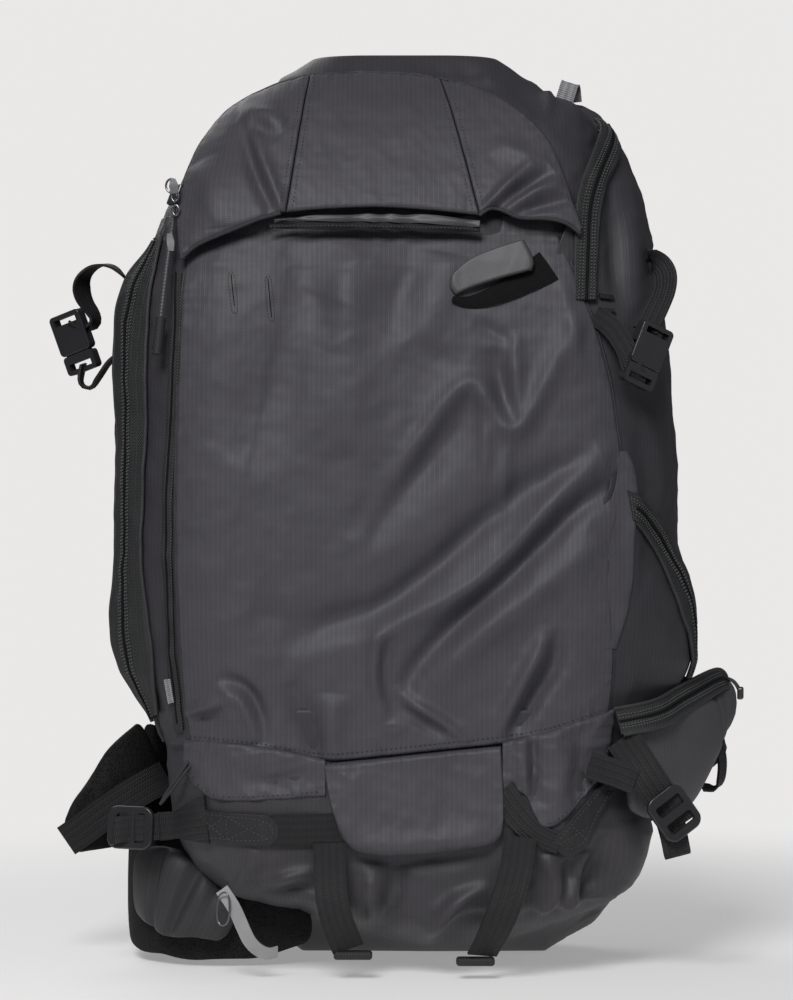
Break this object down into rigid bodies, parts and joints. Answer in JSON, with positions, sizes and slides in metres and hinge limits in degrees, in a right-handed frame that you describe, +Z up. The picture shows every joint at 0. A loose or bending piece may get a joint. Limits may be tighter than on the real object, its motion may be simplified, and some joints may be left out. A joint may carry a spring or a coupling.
{
  "type": "avalanche airbag backpack",
  "caption": "Touring backpack with a fan-driven airbag, opening front panel, hip belt, compression straps, buckles, tool loops and a pull trigger on the shoulder strap.",
  "frame": {"origin": "on the flat base underside, below the middle of the front panel", "axes": "+Z up to the haul loop, -Y the outer front face, +Y the wearer's back, +X to the right of someone who looks at the front face"},
  "size_m": [0.4562, 0.2912, 0.586],
  "materials": {
    "ripstop": "charcoal coated ripstop nylon, fine ribs, low sheen",
    "zip_tape": "coated herringbone zip tape with spiral coils",
    "webbing": "woven polyester webbing, matt black",
    "spacer_mesh": "black spacer mesh over closed-cell foam",
    "patch": "rubberised reinforcement, stitched",
    "hard_plastic": "moulded acetal, satin",
    "grip_rubber": "moulded rubber",
    "pull_cord": "braided cord",
    "zinc": "black coated die-cast zinc",
    "frame_plastic": "high-density polyethylene sheet",
    "alloy": "drawn aluminium bar",
    "airbag_fabric": "coated nylon, folded",
    "housing_plastic": "glass-filled nylon",
    "impeller_plastic": "moulded impeller",
    "motor_metal": "motor can",
    "duct_rubber": "flexible duct",
    "cell_wrap": "shrink-wrapped cells",
    "circuit_board": "solder-masked laminate",
    "screw_steel": "zinc plated steel",
    "trigger_plastic": "moulded red handle",
    "cable_sheath": "cable sheath"
  },
  "bodies": {
    "pack": {"base_shell": "ripstop", "top_panel": "ripstop", "back_wall": "ripstop", "side_panels": "ripstop", "gussets": "ripstop", "side_zips": "zip_tape", "frame_sheet": "frame_plastic", "frame_stays": "alloy", "back_pads": "spacer_mesh", "tool_loops": "webbing", "tool_loop_tips": "grip_rubber", "base_webs": "webbing", "compression_webs": "webbing", "harness_webs": "webbing", "side_buckle_sockets": "hard_plastic", "shoulder_straps": "spacer_mesh", "shoulder_locks": "hard_plastic", "airbag_bundle": "airbag_fabric", "fan_housing_rear": "housing_plastic", "fan_housing_front": "housing_plastic", "fan_motor": "motor_metal", "inlet_screen": "housing_plastic", "air_duct": "duct_rubber", "electronics_case": "housing_plastic", "electronics_lid": "housing_plastic", "case_screws": "screw_steel", "supercapacitors": "cell_wrap", "battery_cells": "cell_wrap", "control_board": "circuit_board", "trigger_cable": "cable_sheath", "trigger_sleeve": "patch"},
    "front_shell": {"front_panel": "ripstop", "hood_panel": "ripstop", "tool_divider": "ripstop"},
    "stow_flap": {"stow_flap": "ripstop"},
    "ski_tab": {"ski_strap_tab": "grip_rubber"},
    "impeller": {"impeller": "impeller_plastic"},
    "power_knob": {"power_knob": "hard_plastic"},
    "trigger_handle": {"trigger_handle": "trigger_plastic"},
    "trigger_lever": {"trigger_lever": "housing_plastic"},
    "haul_loop": {"haul_loop": "webbing"},
    "hip_wing_left": {"hip_wing_left": "spacer_mesh", "hip_pouch_left": "ripstop", "hip_buckle_socket": "hard_plastic"},
    "hip_wing_right": {"hip_wing_right": "spacer_mesh", "hip_pocket_right": "ripstop", "hip_buckle_prongs": "hard_plastic"},
    "hip_pocket_slider": {"hip_pocket_slider": "zinc"},
    "sternum_strap": {"sternum_clips": "hard_plastic", "sternum_web_left": "webbing", "sternum_buckle_socket": "hard_plastic"},
    "sternum_prongs": {"sternum_buckle_prongs": "hard_plastic", "sternum_web_right": "webbing"},
    "tool_zip_slider": {"tool_zip_slider": "zinc"},
    "tool_zip_pull": {"tool_zip_cord": "pull_cord", "tool_zip_grip": "grip_rubber"},
    "ladder_lock_left": {"ladder_lock_left": "hard_plastic"},
    "ladder_lock_right": {"ladder_lock_right": "hard_plastic"},
    "side_prongs_left": {"side_buckle_left_prongs": "hard_plastic"},
    "side_prongs_right": {"side_buckle_right_prongs": "hard_plastic"}
  },
  "joints": [
    {"name": "front_panel_hinge", "type": "hinge", "parent": "pack", "child": "front_shell", "pos_m": [0, -0.111, 0.1423], "axis": [1, 0, 0], "range_deg": [0, 75]},
    {"name": "stow_flap_hinge", "type": "hinge", "parent": "pack", "child": "stow_flap", "pos_m": [0.01, -0.1118, 0.1395], "axis": [-1, 0, 0], "range_deg": [0, 110]},
    {"name": "ski_tab_hinge", "type": "hinge", "parent": "front_shell", "child": "ski_tab", "pos_m": [0.0845, -0.1055, 0.452], "axis": [0.0995, 0, 0.995], "range_deg": [0, 120]},
    {"name": "impeller_spin", "type": "hinge", "parent": "pack", "child": "impeller", "pos_m": [0, 0.045, 0.428], "axis": [0, 1, 0], "continuous": true},
    {"name": "power_knob_turn", "type": "hinge", "parent": "pack", "child": "power_knob", "pos_m": [0.034, 0.035, 0.338], "axis": [0, -1, 0], "range_deg": [0, 90]},
    {"name": "trigger_pull", "type": "slide", "parent": "pack", "child": "trigger_handle", "axis": [0, 0, -1], "range_m": [0, 0.025]},
    {"name": "trigger_lever_turn", "type": "hinge", "parent": "pack", "child": "trigger_lever", "pos_m": [-0.038, 0.052, 0.353], "axis": [0, -1, 0], "range_deg": [0, 30]},
    {"name": "haul_loop_swing", "type": "hinge", "parent": "pack", "child": "haul_loop", "pos_m": [0, 0.095, 0.548], "axis": [1, 0, 0], "range_deg": [0, 150]},
    {"name": "hip_wing_left_swing", "type": "hinge", "parent": "pack", "child": "hip_wing_left", "pos_m": [-0.075, 0.099, 0.08], "axis": [0, 0, -1], "range_deg": [0, 80]},
    {"name": "hip_wing_right_swing", "type": "hinge", "parent": "pack", "child": "hip_wing_right", "pos_m": [0.095, 0.099, 0.11], "axis": [0, 0, 1], "range_deg": [0, 80]},
    {"name": "hip_pocket_zip", "type": "hinge", "parent": "hip_wing_right", "child": "hip_pocket_slider", "pos_m": [-0.003, 0.07, 0.17], "axis": [0, 0, -1], "range_deg": [0, 28]},
    {"name": "sternum_height", "type": "slide", "parent": "pack", "child": "sternum_strap", "axis": [0, 0, 1], "range_m": [-0.012, 0.03]},
    {"name": "sternum_release", "type": "slide", "parent": "sternum_strap", "child": "sternum_prongs", "axis": [1, 0, 0], "range_m": [0, 0.02]},
    {"name": "tool_zip_slide", "type": "hinge", "parent": "pack", "child": "tool_zip_slider", "pos_m": [-0.139, 0.0728, 0.3909], "axis": [1, 0, 0], "range_deg": [0, 34]},
    {"name": "tool_zip_pull_swing", "type": "hinge", "parent": "tool_zip_slider", "child": "tool_zip_pull", "pos_m": [-0.1395, -0.0755, 0.4825], "axis": [1, 0, 0], "range_deg": [-18, 0]},
    {"name": "ladder_left_tilt", "type": "hinge", "parent": "pack", "child": "ladder_lock_left", "pos_m": [-0.1546, -0.0673, 0.0908], "axis": [0.0497, 0.0994, 0.9938], "range_deg": [0, 35]},
    {"name": "ladder_right_tilt", "type": "hinge", "parent": "pack", "child": "ladder_lock_right", "pos_m": [0.1639, -0.1038, 0.1141], "axis": [-0.8201, 0.05, -0.5701], "range_deg": [0, 35]},
    {"name": "side_release_left", "type": "slide", "parent": "pack", "child": "side_prongs_left", "axis": [0.33, 0, -0.944], "range_m": [0, 0.02]},
    {"name": "side_release_right", "type": "slide", "parent": "pack", "child": "side_prongs_right", "axis": [-0.353, -0.111, -0.929], "range_m": [0, 0.02]}
  ],
  "couplings": [
    {"joint": "trigger_lever_turn", "follows": "trigger_pull", "rad_per_m": 20.9},
    {"joint": "tool_zip_pull_swing", "follows": "tool_zip_slide", "ratio": -0.5}
  ]
}
